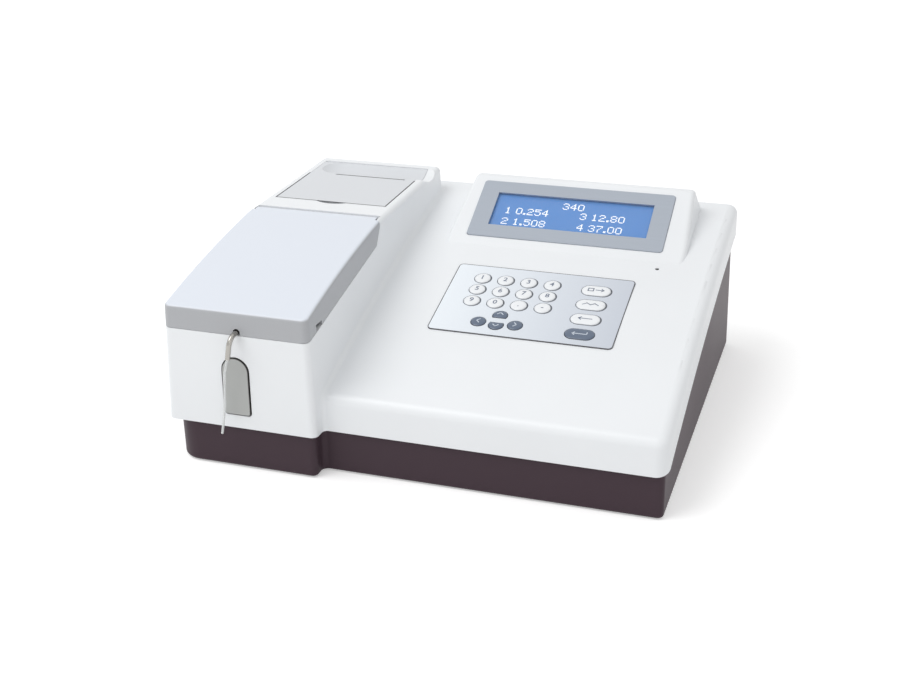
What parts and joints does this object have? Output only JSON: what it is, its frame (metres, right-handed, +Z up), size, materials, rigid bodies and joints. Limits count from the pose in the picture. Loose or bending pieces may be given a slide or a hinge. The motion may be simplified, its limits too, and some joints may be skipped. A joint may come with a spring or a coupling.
{
  "type": "benchtop chemistry analyzer",
  "caption": "Benchtop chemistry analyzer with a lidded sample bay, aspiration tube and paddle, strip printer, tilted display and sloping keypad.",
  "frame": {"origin": "centre of the bounding box at table height, under the feet", "axes": "+X to the instrument's right, +Y from the user to its rear, +Z up"},
  "size_m": [0.37, 0.3368, 0.15],
  "materials": {
    "white_shell": "satin moulded",
    "plum_base": "satin moulded",
    "lid_grey": "satin moulded",
    "door_grey": "satin moulded",
    "bezel_grey": "satin moulded",
    "clear_window": "clear",
    "display_blue": "glossy",
    "keypad_silver": "satin",
    "key_white": "satin",
    "key_slate": "satin",
    "paddle_grey": "satin",
    "black_plastic": "satin",
    "lamp_glass": "clear",
    "filter_glass": "coated",
    "steel": "polished",
    "clear_tube": "translucent",
    "board_green": "varnished",
    "grey_metal": "bead-blasted",
    "pump_white": "satin",
    "rubber_black": "matte",
    "paper": "matte paper"
  },
  "bodies": {
    "case": {"base_tray": "plum_base", "top_cover": "white_shell", "aspiration_sleeve": "steel", "aspiration_capillary": "clear_tube", "display_bezel": "bezel_grey", "display_window": "clear_window", "lcd_module": "display_blue", "status_led": "black_plastic", "keypad_plate": "keypad_silver", "rubber_feet": "rubber_black", "housing_screws": "steel", "keypad_board": "board_green", "main_board": "board_green", "power_supply": "grey_metal", "rear_panel": "grey_metal", "mains_inlet": "black_plastic", "serial_port": "steel", "bay_tray": "white_shell", "photometer_block": "grey_metal", "halogen_lamp": "lamp_glass", "filter_motor": "grey_metal", "flow_cell": "clear_tube", "detector_board": "board_green", "pump_motor": "grey_metal", "pump_head": "pump_white", "pump_tube": "clear_tube", "paddle_switch": "black_plastic", "printer_frame": "black_plastic"},
    "filter_wheel": {"filter_wheel": "black_plastic", "filter_set": "filter_glass"},
    "sample_lid": {"sample_lid": "lid_grey"},
    "printer_door": {"printer_door": "door_grey"},
    "aspirate_paddle": {"aspirate_paddle": "paddle_grey"},
    "power_rocker": {"power_rocker": "black_plastic"},
    "platen_roller": {"platen_roller": "rubber_black"},
    "paper_roll": {"paper_roll": "paper"},
    "pump_rotor": {"pump_rotor": "pump_white"},
    "pump_roller_1": {"pump_roller_1": "steel"},
    "pump_roller_2": {"pump_roller_2": "steel"},
    "pump_roller_3": {"pump_roller_3": "steel"},
    "key_1": {"key_1": "key_white"},
    "key_2": {"key_2": "key_white"},
    "key_3": {"key_3": "key_white"},
    "key_4": {"key_4": "key_white"},
    "key_5": {"key_5": "key_white"},
    "key_6": {"key_6": "key_white"},
    "key_7": {"key_7": "key_white"},
    "key_8": {"key_8": "key_white"},
    "key_9": {"key_9": "key_white"},
    "key_0": {"key_0": "key_white"},
    "key_point": {"key_point": "key_white"},
    "key_extra": {"key_extra": "key_white"},
    "arrow_up": {"arrow_up": "key_slate"},
    "arrow_left": {"arrow_left": "key_slate"},
    "arrow_down": {"arrow_down": "key_slate"},
    "arrow_right": {"arrow_right": "key_slate"},
    "wide_key_1": {"wide_key_1": "key_white"},
    "wide_key_2": {"wide_key_2": "key_white"},
    "wide_key_3": {"wide_key_3": "key_white"},
    "wide_key_4": {"wide_key_4": "key_slate"}
  },
  "joints": [
    {"name": "lid_hinge", "type": "hinge", "parent": "case", "child": "sample_lid", "pos_m": [-0.1255, -0.00445, 0.1455], "axis": [-1, 0, 0], "range_deg": [0, 75]},
    {"name": "door_hinge", "type": "hinge", "parent": "case", "child": "printer_door", "pos_m": [-0.1255, 0.12515, 0.1466], "axis": [-1, 0, 0], "range_deg": [0, 80]},
    {"name": "paddle_pivot", "type": "hinge", "parent": "case", "child": "aspirate_paddle", "pos_m": [-0.127, -0.15042, 0.07955], "axis": [1, 0, 0], "range_deg": [0, 4], "stiffness_Nm_per_rad": 0.3, "springref_deg": -1.15},
    {"name": "rocker_pivot", "type": "hinge", "parent": "case", "child": "power_rocker", "pos_m": [0.141, 0.15576, 0.06129], "axis": [-1, 0, 0], "range_deg": [0, 12]},
    {"name": "wheel_spin", "type": "hinge", "parent": "case", "child": "filter_wheel", "pos_m": [-0.125, -0.02045, 0.042], "axis": [0, 1, 0], "continuous": true},
    {"name": "rotor_spin", "type": "hinge", "parent": "case", "child": "pump_rotor", "pos_m": [-0.151, -0.11645, 0.0926], "axis": [0, 0, 1], "continuous": true},
    {"name": "platen_spin", "type": "hinge", "parent": "case", "child": "platen_roller", "pos_m": [-0.11825, 0.08655, 0.138], "axis": [1, 0, 0], "continuous": true},
    {"name": "paper_spin", "type": "hinge", "parent": "case", "child": "paper_roll", "pos_m": [-0.11825, 0.05155, 0.1223], "axis": [1, 0, 0], "continuous": true},
    {"name": "roller_1_spin", "type": "hinge", "parent": "pump_rotor", "child": "pump_roller_1", "pos_m": [-0.151, -0.12745, 0.0947], "axis": [0, 0, 1], "continuous": true},
    {"name": "roller_2_spin", "type": "hinge", "parent": "pump_rotor", "child": "pump_roller_2", "pos_m": [-0.14147, -0.11095, 0.0947], "axis": [0, 0, 1], "continuous": true},
    {"name": "roller_3_spin", "type": "hinge", "parent": "pump_rotor", "child": "pump_roller_3", "pos_m": [-0.16053, -0.11095, 0.0947], "axis": [0, 0, 1], "continuous": true},
    {"name": "key_1_press", "type": "slide", "parent": "case", "child": "key_1", "axis": [0, -0.2408, 0.9706], "range_m": [-0.001, 0], "stiffness_N_per_m": 400, "springref_m": 0.0002},
    {"name": "key_2_press", "type": "slide", "parent": "case", "child": "key_2", "axis": [0, -0.2408, 0.9706], "range_m": [-0.001, 0], "stiffness_N_per_m": 400, "springref_m": 0.0002},
    {"name": "key_3_press", "type": "slide", "parent": "case", "child": "key_3", "axis": [0, -0.2408, 0.9706], "range_m": [-0.001, 0], "stiffness_N_per_m": 400, "springref_m": 0.0002},
    {"name": "key_4_press", "type": "slide", "parent": "case", "child": "key_4", "axis": [0, -0.2408, 0.9706], "range_m": [-0.001, 0], "stiffness_N_per_m": 400, "springref_m": 0.0002},
    {"name": "key_5_press", "type": "slide", "parent": "case", "child": "key_5", "axis": [0, -0.2408, 0.9706], "range_m": [-0.001, 0], "stiffness_N_per_m": 400, "springref_m": 0.0002},
    {"name": "key_6_press", "type": "slide", "parent": "case", "child": "key_6", "axis": [0, -0.2408, 0.9706], "range_m": [-0.001, 0], "stiffness_N_per_m": 400, "springref_m": 0.0002},
    {"name": "key_7_press", "type": "slide", "parent": "case", "child": "key_7", "axis": [0, -0.2408, 0.9706], "range_m": [-0.001, 0], "stiffness_N_per_m": 400, "springref_m": 0.0002},
    {"name": "key_8_press", "type": "slide", "parent": "case", "child": "key_8", "axis": [0, -0.2408, 0.9706], "range_m": [-0.001, 0], "stiffness_N_per_m": 400, "springref_m": 0.0002},
    {"name": "key_9_press", "type": "slide", "parent": "case", "child": "key_9", "axis": [0, -0.2408, 0.9706], "range_m": [-0.001, 0], "stiffness_N_per_m": 400, "springref_m": 0.0002},
    {"name": "key_0_press", "type": "slide", "parent": "case", "child": "key_0", "axis": [0, -0.2408, 0.9706], "range_m": [-0.001, 0], "stiffness_N_per_m": 400, "springref_m": 0.0002},
    {"name": "key_point_press", "type": "slide", "parent": "case", "child": "key_point", "axis": [0, -0.2408, 0.9706], "range_m": [-0.001, 0], "stiffness_N_per_m": 400, "springref_m": 0.0002},
    {"name": "key_extra_press", "type": "slide", "parent": "case", "child": "key_extra", "axis": [0, -0.2408, 0.9706], "range_m": [-0.001, 0], "stiffness_N_per_m": 400, "springref_m": 0.0002},
    {"name": "arrow_up_press", "type": "slide", "parent": "case", "child": "arrow_up", "axis": [0, -0.2408, 0.9706], "range_m": [-0.001, 0], "stiffness_N_per_m": 400, "springref_m": 0.0002},
    {"name": "arrow_left_press", "type": "slide", "parent": "case", "child": "arrow_left", "axis": [0, -0.2408, 0.9706], "range_m": [-0.001, 0], "stiffness_N_per_m": 400, "springref_m": 0.0002},
    {"name": "arrow_down_press", "type": "slide", "parent": "case", "child": "arrow_down", "axis": [0, -0.2408, 0.9706], "range_m": [-0.001, 0], "stiffness_N_per_m": 400, "springref_m": 0.0002},
    {"name": "arrow_right_press", "type": "slide", "parent": "case", "child": "arrow_right", "axis": [0, -0.2408, 0.9706], "range_m": [-0.001, 0], "stiffness_N_per_m": 400, "springref_m": 0.0002},
    {"name": "wide_key_1_press", "type": "slide", "parent": "case", "child": "wide_key_1", "axis": [0, -0.2408, 0.9706], "range_m": [-0.001, 0], "stiffness_N_per_m": 400, "springref_m": 0.0002},
    {"name": "wide_key_2_press", "type": "slide", "parent": "case", "child": "wide_key_2", "axis": [0, -0.2408, 0.9706], "range_m": [-0.001, 0], "stiffness_N_per_m": 400, "springref_m": 0.0002},
    {"name": "wide_key_3_press", "type": "slide", "parent": "case", "child": "wide_key_3", "axis": [0, -0.2408, 0.9706], "range_m": [-0.001, 0], "stiffness_N_per_m": 400, "springref_m": 0.0002},
    {"name": "wide_key_4_press", "type": "slide", "parent": "case", "child": "wide_key_4", "axis": [0, -0.2408, 0.9706], "range_m": [-0.001, 0], "stiffness_N_per_m": 400, "springref_m": 0.0002}
  ],
  "couplings": [
    {"joint": "platen_spin", "follows": "paper_spin", "ratio": 3.6364},
    {"joint": "roller_1_spin", "follows": "rotor_spin", "ratio": -3.5556},
    {"joint": "roller_2_spin", "follows": "rotor_spin", "ratio": -3.5556},
    {"joint": "roller_3_spin", "follows": "rotor_spin", "ratio": -3.5556}
  ]
}
